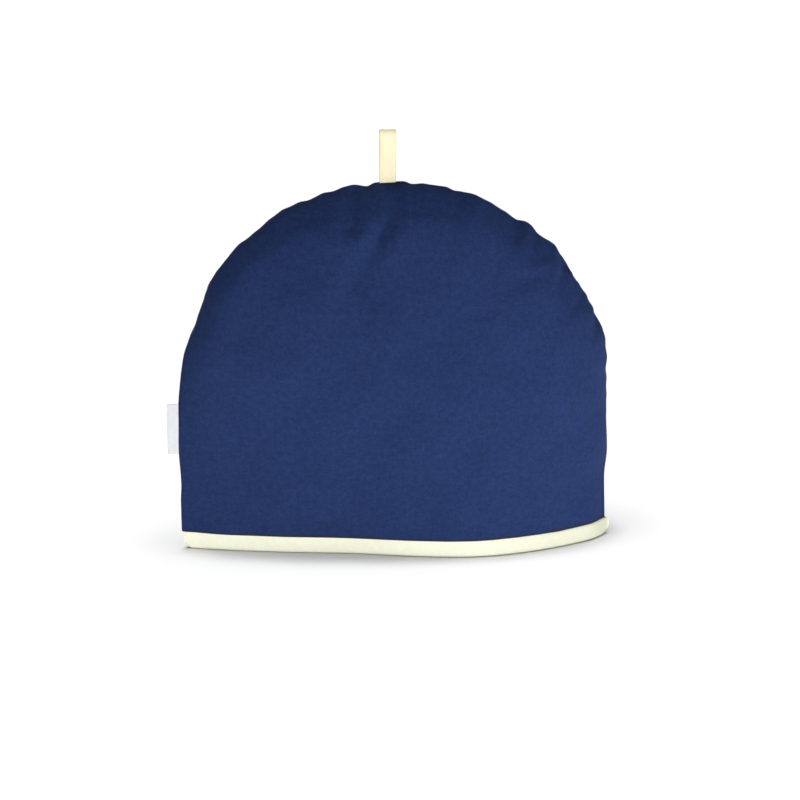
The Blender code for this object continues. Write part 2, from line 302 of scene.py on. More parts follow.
# Painted shade: a darker line painted into the panels' colour where they turn in under the binding's
# upper edge.
CREASE_SHADE_RISE = 0.0009
CREASE_SHADE_WIDTH = 0.0007

# The hanging loop.
LOOP_WIDTH = 0.0114
LOOP_CLOTH = 0.0012
LOOP_HEIGHT = 0.0372
LOOP_SEATED = 0.0050
LOOP_HALF_OPEN = 0.0040
LOOP_CLOSED_SHARE = 0.1
LOOP_STITCH_INSET = 0.0021
LOOP_GROOVE = 0.00018
LOOP_LEG_POINTS = 30
LOOP_TURN_POINTS = 19

# The ribbon tab.
TAB_CENTRE_Z = 0.0899
TAB_HEIGHT = 0.0364
TAB_PROUD = 0.0083
TAB_SEATED = 0.0040
TAB_CLOTH = 0.0005
TAB_BAND = 0.0040
TAB_GROOVE = 0.00008
TAB_LEG_POINTS = 14
TAB_TURN_POINTS = 11
TAB_BEND = {"out": 0.0004, "turn": 4.0, "phase": 0.6}

# Points across a flat tape, on each face and each round edge, and the width of its grooves.
FACE_POINTS = 41
EDGE_POINTS = 9
GROOVE_WIDTH = 0.00035

# The slots where the panels part for the loop and the tab.
SLOT_PLAY = 0.0003
SLOT_SIDE = 0.0012
LOOP_SLOT_PLAY = 0.0004
LOOP_SLOT_LOW = 0.0035
LOOP_SLOT_HIGH = 0.0015
TAB_SLOT_END = 0.002

# The grids of the panels: rows inside the binding, close ones on the hem's roll, near ones above
# it, and then even ones.
COLUMNS = 328
DOME_ROWS = 112
PRESSED_ROWS = (FOOT, 0.0060, 0.0100)
ROLL_MARGIN = 0.0004
ROLL_ROW_STEP = 0.0003
NEAR_ROW_FIRST = 0.0006
NEAR_ROW_STEP = 0.0008
NEAR_ROWS_REACH = 0.0060
SIDE_ROW_STEP = 0.0014

# The grid on which a panel is laid flat.
FLAT_COLUMNS = 312
FLAT_ROWS = 264
JUST_INSIDE = 1.001

# Sewing thread.
STITCH_STEP = 0.0031
STITCH_LENGTH = 0.0025
THREAD = 0.00042
THREAD_SUNK = 0.0001
STITCH_SIDES = 6
STITCH_STATIONS = 7
HEADING_REACH = 0.0005
NORMAL_REACH = 0.001
LOOP_STITCH_SHARE = 0.85
LOOP_HIDDEN_POINTS = 6

# Each cloth's colours, where its threads are darkest and lightest.
COLOURS = {
    "navy_cotton": {"dark": (0.0120, 0.0273, 0.0950), "light": (0.0196, 0.0410, 0.1370)},
    "cream_tape": {"dark": (0.790, 0.796, 0.633), "light": (0.839, 0.845, 0.681)},
    "pale_loop_tape": {"dark": (0.782, 0.703, 0.487), "light": (0.815, 0.738, 0.515)},
    "white_ribbon": {"dark": (0.59, 0.595, 0.63), "light": (0.65, 0.655, 0.69)},
}

# The weave: how its threads drift, their thicker stretches, and its mean height.
DRIFT = {"scale": 0.16, "detail": 2.0, "reach": 0.5}
SLUB = {"scale": 0.9, "detail": 1.0, "stretch": 0.05, "bump": 0.35}
MOTTLES = ("grain", "fine", "broad")
MOTTLE_DETAIL = 2.0
WEAVE_MEAN = 0.62
BUMP_DEPTH = 0.3
UNEVEN_ROUGHNESS = 0.14
SHEEN_ROUGHNESS = 0.5

# A Mix node's sockets for colours.
MIX_FIRST = 6
MIX_SECOND = 7
MIX_RESULT = 2

# The floor, which its suns light up to white.
FLOOR_TONE = 0.44
FLOOR_ROUGHNESS = 0.9
FLOOR_REACH = 14.0

# The photograph's viewing angle.
CAMERA_AZIMUTH = -9.2
CAMERA_ELEVATION = 15.5
CAMERA_DISTANCE = 1.6
CAMERA_TARGET = (0.0073, 0.0, 0.104)
CAMERA_LENS = 100.0
CAMERA_SENSOR = 36.0

# The soft oblong lights round the cosy, and what each of them shines on.
LIGHT_TARGET = (0.0, 0.0, 0.12)
LIGHTS = named_rows(
    "name on place size power",
    ("right_key", "all", (1.00, -1.70, 0.14), (1.0, 0.24), 8.2),
    ("front_key", "all", (0.00, -2.00, 0.14), (1.0, 0.24), 7.2),
    ("right_side", "panels", (1.90, -0.50, 0.14), (1.0, 0.24), 3.6),
    ("trim_fill", "trim", (-0.60, -1.45, 1.30), (1.0, 0.36), 24.0),
    ("crown_rim", "cosy", (-0.55, 1.10, 1.70), (1.2, 0.6), 15.0),
)
GLOW = {"place": (0.0, 0.0, -0.05), "target": (0.0, 0.0, 1.0), "size": (4.0, 4.0), "power": 38.0}
WORLD_GLOW = 0.03

# The suns over the floor, with their width and their two tilts in degrees.
SUNS = named_rows(
    "name energy width from_front from_right",
    ("overhead", 3.0, 11.0, -2.8, -2.5),
    ("overhead_wide", 0.9, 40.0, -6.0, 0.0),
    ("overhead_soft", 0.4, 90.0, 0.0, 0.0),
    ("left_soft", 1.6, 26.0, 4.5, -14.0),
    ("right_soft", 1.4, 26.0, 4.5, 13.0),
)

# Keeps a division or a root off zero.
TINY = 1e-12


def smooth_step(value, low, high):
    """Rise softly from 0 at low to 1 at high."""
    share = np.clip((value - low) / (high - low), 0.0, 1.0)
    return share * share * (3.0 - 2.0 * share)


def hump(distance, width):
    """A soft hump of height 1 at distance 0."""
    return np.exp(-0.5 * (distance / width) ** 2)


def between_rows(table, place, key):
    """Read a value along the seam from a table, going softly from each row to the next."""
    value = np.full_like(place, table[-1][key])
    for here, after in zip(table, table[1:]):
        share = smooth_step(place, here["along"], after["along"])
        inside = (place >= here["along"]) & (place < after["along"])
        value = np.where(inside, here[key] + (after[key] - here[key]) * share, value)
    return value


def along_lengths(line):
    """The length from a line's first point to each of its points."""
    return np.concatenate([[0.0], np.cumsum(np.linalg.norm(np.diff(line, axis=0), axis=1))])


def line_normals(line):
    """The direction square to a line in its plane, at each of its points."""
    along = np.gradient(line, axis=0)
    along /= np.linalg.norm(along, axis=1, keepdims=True)
    return np.stack([-along[:, 1], along[:, 0]], axis=-1)


def read_line(places, lengths, values):
    """Points or directions read at places along a line, from those at its lengths."""
    return np.stack([np.interp(places, lengths, values[:, axis]) for axis in range(3)], axis=-1)


def uneven(x, z, kind):
    """A soft unevenness, made of waves in many directions."""
    chance = np.random.default_rng(kind["seed"])
    total = np.zeros_like(x)
    for _ in range(UNEVEN_WAVES):
        heading = chance.uniform(0.0, pi)
        length = kind["spacing"] * chance.uniform(*UNEVEN_SPREAD)
        phase = chance.uniform(0.0, 2 * pi)
        across = x * cos(heading) + z * sin(heading)
        total += np.sin(2 * pi * across / length + phase)
    return kind["rise"] * total * sqrt(2.0 / UNEVEN_WAVES)


# ---------------------------------------------------------------- the shape of the panels


def half_width(inset):
    """The half width of a panel's face at an inset."""
    return HALF_WIDTH - EDGE_SHARE * inset


def bow(panel, inset, x, z):
    """How far a panel stands out of the seam's plane, at an inset from its outer face."""
    half = half_width(inset)
    rise = np.maximum(z - SHOULDER, 0.0)
    reach = np.sqrt(np.maximum(half**2 - rise**2, TINY))
    lean = panel["lean"] * (1.0 - LEAN_TAPER * z / HEIGHT)
    leaned = x - lean * (reach**2 - x**2) / reach
    fullness = np.clip((reach**2 - leaned**2) / half**2, 0.0, 1.0)
    rightness = np.clip(0.5 + 0.5 * x / half, 0.0, 1.0)
    power = panel["left_power"] + (panel["right_power"] - panel["left_power"]) * rightness
    power = power + (TOP_POWER - power) * smooth_step(z, TOP_BEGINS, TOP_FULL)
    depth = panel["depth"] + panel["belly"] * hump(z - BELLY_HEIGHT, BELLY_REACH) - inset
    return depth * fullness**power


def hem_wave(panel, x, z):
    """The slow waves of the front hem, which fade out up the panel."""
    if panel["side"] > 0:
        return np.zeros_like(x)
    waves = sum(wave["out"] * hump(x - wave["x"], wave["width"]) for wave in HEM_WAVES)
    return waves * hump(z, HEM_WAVE_REACH)


def seam_place(x, z):
    """Where a point lies: its place along the seam, and the outward direction there."""
    angle = np.where(z > SHOULDER, np.arctan2(z - SHOULDER, -x), 0.0)
    angle = np.where((z <= SHOULDER) & (x > 0.0), pi, angle)
    side = np.where(x > 0.0, 2.0 * SHOULDER + pi * HALF_WIDTH - z, z)
    along = np.where(z > SHOULDER, SHOULDER + HALF_WIDTH * angle, side)
    return along, -np.cos(angle), np.sin(angle)


def off_centre(x, z):
    """How far a point is from the dome's middle, or below it from the upright middle line."""
    return np.hypot(x, np.maximum(z - SHOULDER, 0.0))


def tape_slot(x, z):
    """How far the panels part where the loop and the tab sit between them."""
    loop_side = LOOP_WIDTH / 2 + SLOT_PLAY
    loop_foot = HEIGHT - LOOP_SEATED
    loop = 1.0 - smooth_step(np.abs(x - LOOP_X), loop_side, loop_side + SLOT_SIDE)
    loop = loop * smooth_step(z, loop_foot - LOOP_SLOT_LOW, loop_foot - LOOP_SLOT_HIGH)
    tab_side = TAB_HEIGHT / 2 + SLOT_PLAY
    tab_root = TAB_SEATED - HALF_WIDTH
    tab = 1.0 - smooth_step(np.abs(z - TAB_CENTRE_Z), tab_side, tab_side + SLOT_SIDE)
    tab = tab * (1.0 - smooth_step(x, tab_root, tab_root + TAB_SLOT_END))
    return loop * (LOOP_CLOTH + LOOP_SLOT_PLAY) + tab * (TAB_CLOTH + SLOT_PLAY)


def corner_pull(x, z):
    """How much of the right hem corner's pull reaches a point."""
    return smooth_step(x, CORNER_BEGINS, HALF_WIDTH) * hump(z, CORNER_REACH)


def standing(panel, inset, x, z, seam_gap):
    """The points of a face of the cosy as it stands."""
    out = bow(panel, inset, x, z)
    edge = smooth_step(out, 0.0, WAVES_BEGIN)
    out = out + edge * hem_wave(panel, x, z)
    along, out_x, out_z = seam_place(x, z)
    near_seam = np.clip(off_centre(x, z) / HALF_WIDTH, 0.0, 1.0) ** SEAM_FADE
    step = between_rows(SEAM_OUTLINE, along, "out") * near_seam
    shift = HEM_SHIFT * (1.0 - smooth_step(z, HEM_SHIFT_LOW, HEM_SHIFT_HIGH))
    corner = corner_pull(x, z)
    pulled = CORNER_FORWARD * corner
    if panel["side"] < 0:
        out = (out**CORNER_POWER + pulled**CORNER_POWER) ** (1.0 / CORNER_POWER) - pulled
    y = panel["side"] * np.maximum(out, seam_gap) - pulled
    placed_x = MIDDLE_X + x + step * out_x + shift - CORNER_INWARD * corner
    near_end = np.clip((np.abs(x) - HALF_WIDTH + END_REACH) / END_REACH, 0.0, 1.0)
    lift = END_LIFT * near_end**2 * (1.0 - smooth_step(z, 0.0, BINDING_HEIGHT))
    return np.stack([placed_x, y, z + step * out_z + lift], axis=-1)


def side_heights():
    """The heights of the rows between the hem and the shoulder."""
    roll = list(np.arange(TUCK_LOW - ROLL_MARGIN, FULL_ABOVE + ROLL_MARGIN, ROLL_ROW_STEP))
    roll += list(np.arange(roll[-1] + NEAR_ROW_FIRST, FULL_ABOVE + NEAR_ROWS_REACH, NEAR_ROW_STEP))
    count = int((SHOULDER - roll[-1]) / SIDE_ROW_STEP)
    above = list(np.linspace(roll[-1], SHOULDER, count + 1)[1:])
    heights = [*PRESSED_ROWS, *roll, *above]
    if len(heights) % 2 == 0:
        heights.insert(1, (PRESSED_ROWS[0] + PRESSED_ROWS[1]) / 2)
    return heights


def hem_inset(height, pressed, full):
    """The inset near the hem: pressed inside the binding, and full above it."""
    return pressed + (full - pressed) * smooth_step(height, TUCK_LOW, FULL_ABOVE)


def panel_rows(inside):
    """The inset, x and z of each row of a panel's face, from the hem up."""
    step = 2 if inside else 1
    across = np.sin(np.linspace(-pi / 2, pi / 2, COLUMNS // step + 1))
    rise = np.sin(np.linspace(0.0, pi / 2, DOME_ROWS // step + 1))[1:]
    pressed = PRESSED_INNER if inside else PRESSED_OUTER
    full = WALL if inside else 0.0
    insets, xs, zs = [], [], []
    for height in side_heights()[::step]:
        inset = hem_inset(height, pressed, full)
        insets.append(np.full_like(across, inset))
        xs.append(half_width(inset) * across)
        zs.append(np.full_like(across, height))
    half = half_width(full)
    for level in rise:
        insets.append(np.full_like(across, full))
        xs.append(half * across * sqrt(1.0 - level**2 / 2))
        zs.append(SHOULDER + half * level * np.sqrt(1.0 - across**2 / 2))
    return np.array(insets), np.array(xs), np.array(zs)


def grid_normals(points, side):
    """The outward direction at each point of a grid."""
    across = np.gradient(points, axis=1)
    upward = np.gradient(points, axis=0)
    normal = -side * np.cross(across, upward)
    length = np.linalg.norm(normal, axis=-1, keepdims=True)
    return normal / np.maximum(length, TINY)


def fold_rise(folds, x, z):
    """The height of the soft folds at a point."""
    total = np.zeros_like(x)
    for row in folds:
        start = np.array(row["start"])
        run = np.array(row["end"]) - start
        share = ((x - start[0]) * run[0] + (z - start[1]) * run[1]) / (run @ run)
        held = np.clip(share, 0.0, 1.0)
        away = np.hypot(x - start[0] - held * run[0], z - start[1] - held * run[1])
        width = row["widths"][0] + (row["widths"][1] - row["widths"][0]) * held
        rise = row["rises"][0] + (row["rises"][1] - row["rises"][0]) * held
        total += rise * hump(away, width)
    return total


def seam_relief(off_middle, x, z):
    """The small puckers and the rolled lip beside the seam."""
    along, _, _ = seam_place(x, z)
    in_plane = np.maximum(HALF_WIDTH - off_centre(x, z), 0.0)
    reach = np.hypot(in_plane, off_middle)
    drift = sum(row["share"] * np.sin(along / row["length"] + row["phase"]) for row in PUCKER_DRIFT)
    crest = np.cos(2 * pi * (along / PUCKER_SPACING + drift))
    height = between_rows(PUCKERS, along, "height")
    fade = smooth_step(reach, 0.0, PUCKER_BEGINS) * np.exp(-((reach / PUCKER_REACH) ** PUCKER_POWER))
    lip = smooth_step(reach, 0.0, LIP_PEAK) * (1.0 - smooth_step(reach, LIP_PEAK, LIP_END))
    above_hem = smooth_step(z, FULL_ABOVE, FULL_ABOVE + CALM_ABOVE_HEM)
    return (height * crest * fade + LIP_RISE * lip) * above_hem


def shoulder_roll(x, z):
    """The soft roll of the wadding along the shoulders and the top, inside the seam."""
    along, _, _ = seam_place(x, z)
    in_plane = HALF_WIDTH - off_centre(x, z)
    rise = between_rows(SHOULDER_ROLL, along, "rise")
    inset = between_rows(SHOULDER_ROLL, along, "inset")
    width = between_rows(SHOULDER_ROLL, along, "width")
    width = np.where(in_plane > inset, width * ROLL_INNER_SHARE, width)
    return rise * hump(in_plane - inset, width)


def relief(panel, folds, off_middle, x, z, inside):
    """How far the finished cloth stands off its plain face."""
    above_hem = smooth_step(z, BINDING_HEIGHT, FULL_ABOVE + WADDING_BEGINS)
    off_seam = smooth_step(off_middle, 0.0, SOFT_BEGINS)
    slow = uneven(x + WADDING_OFFSET * panel["side"], z, WADDING) * above_hem * off_seam
    total = slow + fold_rise(folds, x, z) * smooth_step(off_middle, 0.0, FOLDS_BEGIN)
    total = total + shoulder_roll(x, z)
    if inside:
        return -total
    total = total + uneven(x, z, COCKLE) * above_hem * off_seam
    roll = HEM_ROLL * hump(z - FULL_ABOVE - HEM_ROLL_ABOVE, HEM_ROLL_WIDTH)
    return total + seam_relief(off_middle, x, z) + roll * off_seam


def flat_places(panel, x, z):
    """Where each point lies on the panel laid flat: across and up, in metres of cloth."""
    grid_x = np.linspace(-HALF_WIDTH, HALF_WIDTH, FLAT_COLUMNS)
    grid_z = np.linspace(0.0, HEIGHT, FLAT_ROWS)
    wide_x, wide_z = np.meshgrid(grid_x, grid_z)
    out = bow(panel, 0.0, wide_x, wide_z)
    slope_z, slope_x = np.gradient(out, grid_z, grid_x)
    step_x = grid_x[1] - grid_x[0]
    step_z = grid_z[1] - grid_z[0]
    across = np.cumsum(np.sqrt(1.0 + slope_x**2), axis=1) * step_x
    across -= across[:, FLAT_COLUMNS // 2][:, None]
    upward = np.cumsum(np.sqrt(1.0 + slope_z**2), axis=0) * step_z
    upward -= upward[:1]
    column = np.clip((x + HALF_WIDTH) / step_x, 0.0, FLAT_COLUMNS - JUST_INSIDE)
    row = np.clip(z / step_z, 0.0, FLAT_ROWS - JUST_INSIDE)
    left, low = column.astype(int), row.astype(int)
    right_share, high_share = column - left, row - low

    def read(table):
        lower = table[low, left] * (1 - right_share) + table[low, left + 1] * right_share
        upper = table[low + 1, left] * (1 - right_share) + table[low + 1, left + 1] * right_share
        return lower * (1 - high_share) + upper * high_share

    return np.stack([read(across), read(upward)], axis=-1)


# ---------------------------------------------------------------- meshes


def add_object(name, data):
    """An object in the scene."""
    made = bpy.data.objects.new(name, data)
    bpy.context.scene.collection.objects.link(made)
    return made


def add_piece(name, points, faces, places, cloth, crease_shade=None):
    """A smooth mesh with its material, its cloth places as a UV map, and its painted crease shade.
    """
    mesh = bpy.data.meshes.new(name)
    mesh.from_pydata(np.asarray(points).tolist(), [], faces)
    mesh.materials.append(cloth)
    layer = mesh.uv_layers.new(name="cloth")
    corners = np.zeros(len(mesh.loops), np.int32)
    mesh.loops.foreach_get("vertex_index", corners)
    layer.data.foreach_set("uv", np.asarray(places, np.float32)[corners].ravel())
    # Painted shade: how far the colour darkens towards the crease shade colour at each point.
    if crease_shade is not None:
        crease_shade_node = mesh.attributes.new("crease_shade", "FLOAT", "POINT")
        crease_shade_node.data.foreach_set("value", np.asarray(crease_shade, np.float32))
    mesh.shade_smooth()
    mesh.update()
    return add_object(name, mesh)


def grid_faces(rows, columns, start, flip):
    """The faces of a grid of points, as corner numbers."""
    index = start + np.arange(rows * columns).reshape(rows, columns)
    corners = [index[:-1, :-1], index[:-1, 1:], index[1:, 1:], index[1:, :-1]]
    if flip:
        corners = corners[::-1]
    return np.stack([corner.ravel() for corner in corners], axis=-1).tolist()


def rim_of(rows, columns, start):
    """The points round the edge of a grid, in order."""
    index = start + np.arange(rows * columns).reshape(rows, columns)
    return np.concatenate([index[0], index[1:, -1], index[-1, -2::-1], index[-2:0:-1, 0]])


def add_panel(name, piece_name, cloth):
    """One padded panel: a fine outer face and a coarser inner one, joined round the edge."""
    panel = PANELS[name]
    faces, sheets, rims = [], [], []
    start = 0
    for inside in (False, True):
        inset, x, z = panel_rows(inside)
        gap = SEAM_GAP / 2 + tape_slot(x, z)
        points = standing(panel, inset, x, z, gap)
        normal = grid_normals(points, panel["side"])
        if inside:
            normal = -normal
        middle_y = -CORNER_FORWARD * corner_pull(x, z)
        off_middle = panel["side"] * (points[..., 1] - middle_y)
        points = points + normal * relief(panel, FOLDS[name], off_middle, x, z, inside)[..., None]
        off_middle = panel["side"] * (points[..., 1] - middle_y)
        points[..., 1] = middle_y + panel["side"] * np.maximum(off_middle, gap)
        rows, columns = x.shape
        faces += grid_faces(rows, columns, start, flip=(panel["side"] > 0) != inside)
        rims.append(rim_of(rows, columns, start))
        places = flat_places(panel, x, z).reshape(-1, 2)
        # Painted shade along the crease just above the binding's upper edge.
        crease_shade = hump(z - BINDING_HEIGHT - CREASE_SHADE_RISE, CREASE_SHADE_WIDTH).ravel()
        sheets.append((points.reshape(-1, 3), places, crease_shade))
        start += rows * columns
    outer, inner = rims
    for place in range(len(inner)):
        after = (place + 1) % len(inner)
        near = [outer[2 * place], outer[2 * place + 1], outer[(2 * place + 2) % len(outer)]]
        strip = [int(corner) for corner in near + [inner[after], inner[place]]]
        faces.append(strip if panel["side"] > 0 else strip[::-1])
    points, places, crease_shade = [np.concatenate(part) for part in zip(*sheets)]
    piece = add_piece(piece_name, points, faces, places, cloth, crease_shade)
    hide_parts(name)
    return piece


def tape_section():
    """The binding's section: inset and height of each point of its outer and inner surface."""
    thick = TAPE_CLOTH
    leg = np.linspace(1.0, 0.0, LEG_POINTS)[:-1]
    turn = np.linspace(0.0, pi / 2, TURN_POINTS)
    top = BINDING_HEIGHT - thick / 2
    low = thick / 2 + TAPE_CORNER
    near, far = thick / 2 - TAPE_PROUD, LINING_SIDE - thick / 2
    line = [(near, low + (top - low) * share) for share in leg]
    round_off = TAPE_CORNER
    line += [(near + round_off * (1 - cos(a)), low - round_off * sin(a)) for a in turn]
    line += [(far - round_off * (1 - sin(a)), low - round_off * cos(a)) for a in turn]
    line += [(far, low + (top - low) * share) for share in leg[::-1]]
    line = np.array(line)
    normal = line_normals(line)
    cap = np.linspace(0.0, pi, CAP_POINTS)[1:-1]
    outer_side = line - normal * thick / 2
    inner_side = line + normal * thick / 2
    first = [line[0] + thick / 2 * np.array([cos(a), sin(a)]) for a in cap]
    last = [line[-1] + thick / 2 * np.array([cos(a), sin(a)]) for a in cap]
    return np.array([*outer_side, *last[::-1], *inner_side[::-1], *first])


def ring_points(inset, height):
    """Points round the hem at an inset and a height for each: front and then back."""
    across = np.sin(np.linspace(-pi / 2, pi / 2, RING_STEPS + 1))
    parts = []
    for name, places, half in (
        ("front_panel", across[:-1], slice(0, RING_STEPS)),
        ("back_panel", across[::-1][:-1], slice(RING_STEPS, RING_SIZE)),
    ):
        x = half_width(inset[half]) * places
        parts.append(standing(PANELS[name], inset[half], x, height[half], 0.0))
    return np.concatenate(parts)


def ring_length():
    """The length round the hem from its left corner to each place of the ring, and all round."""
    ring = ring_points(np.zeros(RING_SIZE), np.full(RING_SIZE, BINDING_HEIGHT / 2))
    steps = np.linalg.norm(np.roll(ring, -1, axis=0) - ring, axis=1)
    return np.concatenate([[0.0], np.cumsum(steps)[:-1]]), steps.sum()


def tape_wobble(length, total):
    """A small unevenness along the binding, which closes on itself."""
    turn = 2 * pi * length / total
    return sum(row["share"] * np.sin(row["turns"] * turn + row["phase"]) for row in TAPE_WOBBLE)


def add_binding(cloth):
    """The tape folded over the hem, a little puffed between its edges."""
    section = tape_section()
    length, total = ring_length()
    wobble = tape_wobble(length, total)
    rings, places = [], []
    for (inset, height), across in zip(section, along_lengths(section)):
        share = np.clip(height / BINDING_HEIGHT, 0.0, 1.0)
        outward = -1.0 if inset < LINING_SIDE / 2 else 1.0
        puff = TAPE_PUFF * sin(pi * share) * (1.0 + WOBBLE_PUFF * wobble)
        raised = height + WOBBLE_RISE * wobble * share
        ring_inset = np.full(RING_SIZE, inset) + outward * puff
        rings.append(ring_points(ring_inset, raised))
        places.append(np.stack([length, np.full(RING_SIZE, across)], axis=-1))
    faces = []
    for ring in range(len(rings)):
        here = ring * RING_SIZE
        after = (ring + 1) % len(rings) * RING_SIZE
        for place in range(RING_SIZE):
            beside = (place + 1) % RING_SIZE
            faces.append([here + place, after + place, after + beside, here + beside])
    piece = add_piece("binding_tape", np.concatenate(rings), faces, np.concatenate(places), cloth)
    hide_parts("hem_binding")
    return piece


def stitch_shape():
    """One stitch along X: its points, bulging along Z, and its faces."""
    sides = STITCH_SIDES
    stations = np.linspace(0.0, pi, STITCH_STATIONS)[1:-1]
    points = [(-STITCH_LENGTH / 2, 0.0, 0.0)]
    for station in stations:
        reach = -cos(station) * STITCH_LENGTH / 2
        round_size = THREAD / 2 * sin(station) ** 0.5
        for side in range(sides):
            angle = 2 * pi * side / sides
            points.append((reach, round_size * cos(angle), round_size * sin(angle)))
    points.append((STITCH_LENGTH / 2, 0.0, 0.0))
    faces = []
    for side in range(sides):
        after = (side + 1) % sides
        faces.append([0, 1 + after, 1 + side])
        for ring in range(len(stations) - 1):
            low, high = 1 + ring * sides, 1 + (ring + 1) * sides
            faces.append([low + side, low + after, high + after, high + side])
        last = 1 + (len(stations) - 1) * sides
        faces.append([last + side, last + after, len(points) - 1])
    return np.array(points), faces


def add_stitches(name, rows, cloth):
    """Rows of stitches as one mesh: each lies at its place, along its heading, on its normal."""
    shape, shape_faces = stitch_shape()
    blocks, faces, flat = [], [], []
    stitches = zip(*[np.concatenate(part) for part in zip(*rows)])
    for number, (place, heading, normal) in enumerate(stitches):
        heading = heading / np.linalg.norm(heading)
        normal = normal - heading * (normal @ heading)
        normal = normal / np.linalg.norm(normal)
        sideways = np.cross(normal, heading)
        turned = shape[:, :1] * heading + shape[:, 1:2] * sideways + shape[:, 2:] * normal
        blocks.append(place + turned)
        start = number * len(shape)
        faces += [[start + corner for corner in face] for face in shape_faces]
        flat.append(shape[:, :2] + [number * STITCH_STEP, 0.0])
    return add_piece(name, np.concatenate(blocks), faces, np.concatenate(flat), cloth)


def along_line(line, spacing):
    """Places at an even spacing along a closed or open line, with the line's heading there."""
    travel = along_lengths(line)
    count = int(travel[-1] / spacing)
    wanted = (np.arange(count) + 0.5) * travel[-1] / count
    ahead = read_line(wanted + HEADING_REACH, travel, line)
    behind = read_line(wanted - HEADING_REACH, travel, line)
    return read_line(wanted, travel, line), ahead - behind


def add_binding_stitches(cloth):
    """The stitching along the binding's upper edge, outside and inside."""
    length, total = ring_length()
    level = BINDING_HEIGHT - HEM_STITCH_INSET
    height = np.full(RING_SIZE, level) + WOBBLE_RISE * tape_wobble(length, total)
    puff = TAPE_PUFF * sin(pi * (level / BINDING_HEIGHT))
    rows = []
    for inset, outward in ((-TAPE_PROUD - puff, -1.0), (LINING_SIDE + puff, 1.0)):
        ring = ring_points(np.full(RING_SIZE, inset), height)
        raised = ring_points(np.full(RING_SIZE, inset + outward * NORMAL_REACH), height)
        closed = np.concatenate([ring, ring[:1]])
        closed_raised = np.concatenate([raised, raised[:1]])
        spots, ways = along_line(closed, STITCH_STEP)
        shares = (np.arange(len(spots)) + 0.5) / len(spots)
        travel = np.concatenate([length, [total]]) / total
        rows.append((spots, ways, read_line(shares, travel, closed_raised - closed)))
    return add_stitches("binding_stitches", rows, cloth)


def loop_line():
    """The middle line of the loop's tape in the Y-Z plane."""
    closed = LOOP_CLOTH / 2 + SEAM_GAP
    rounding = LOOP_HALF_OPEN - LOOP_CLOTH / 2
    foot = HEIGHT - LOOP_SEATED
    top = HEIGHT + LOOP_HEIGHT - LOOP_CLOTH / 2 - rounding
    share = np.linspace(0.0, 1.0, LOOP_LEG_POINTS)
    leg_y = closed + (rounding - closed) * smooth_step(share, LOOP_CLOSED_SHARE, 1.0)
    leg_z = foot + share * (top - foot)
    turn = np.linspace(0.0, pi, LOOP_TURN_POINTS)[1:-1]
    line = list(zip(-leg_y, leg_z))
    line += [(-rounding * cos(a), top + rounding * sin(a)) for a in turn]
    line += list(zip(leg_y[::-1], leg_z[::-1]))
    return np.array(line)


def tape_profile(width, thickness, groove_inset, groove):
    """The outline across a flat tape: round edges, and a shallow groove beside each edge."""
    half, radius = width / 2, thickness / 2
    flat = np.linspace(-(half - radius), half - radius, FACE_POINTS)
    dip = groove * hump(np.abs(flat) - (half - groove_inset), GROOVE_WIDTH)
    upper = list(zip(flat, radius - dip))
    turn = np.linspace(pi / 2, -pi / 2, EDGE_POINTS)[1:-1]
    right = [(half - radius + radius * cos(a), radius * sin(a)) for a in turn]
    lower = [(x, -y) for x, y in upper[::-1]]
    left = [(-x, y) for x, y in right[::-1]]
    return np.array(upper + right + lower + left)


def add_strip(name, line, profile, place, cloth):
    """A tape carried along a line: profile across it, place turns line and width into a point."""
    points, flat = [], []
    edge = along_lengths(profile)
    for spot, out, way in zip(line, line_normals(line), along_lengths(line)):
        for (across, thick), side in zip(profile, edge):
            points.append(place(spot + out * thick, across))
            flat.append((way, side))
    size = len(profile)
    faces = []
    for station in range(len(line) - 1):
        for corner in range(size):
            after = (corner + 1) % size
            low, high = station * size, (station + 1) * size
            faces.append([low + corner, high + corner, high + after, low + after])
    last = (len(line) - 1) * size
    faces.append(list(range(size)))
    faces.append([last + corner for corner in range(size)][::-1])
    return add_piece(name, points, faces, flat, cloth)


def add_loop(cloth):
    """The hanging loop."""
    profile = tape_profile(LOOP_WIDTH, LOOP_CLOTH, LOOP_STITCH_INSET, LOOP_GROOVE)

    def place(spot, across):
        return (MIDDLE_X + LOOP_X + across, spot[0], spot[1])

    piece = add_strip("loop_tape", loop_line(), profile, place, cloth)
    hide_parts("hang_loop")
    return piece


def add_loop_stitches(cloth):
    """The stitching beside both edges of the loop's tape."""
    line = loop_line()
    normal = line_normals(line)
    shown = slice(LOOP_HIDDEN_POINTS, -LOOP_HIDDEN_POINTS)
    rows = []
    for side in (-1, 1):
        x = MIDDLE_X + LOOP_X + side * (LOOP_WIDTH / 2 - LOOP_STITCH_INSET)
        for face in (-1, 1):
            surface = (line + face * normal * (LOOP_CLOTH / 2 - THREAD_SUNK))[shown]
            route = np.column_stack([np.full(len(surface), x), surface])
            spots, ways = along_line(route, STITCH_STEP * LOOP_STITCH_SHARE)
            nearest = [int(np.argmin(np.hypot(*(surface - spot[1:]).T))) for spot in spots]
            out = np.column_stack([np.zeros(len(spots)), face * normal[shown][nearest]])
            rows.append((spots, ways, out))
    return add_stitches("loop_stitches", rows, cloth)


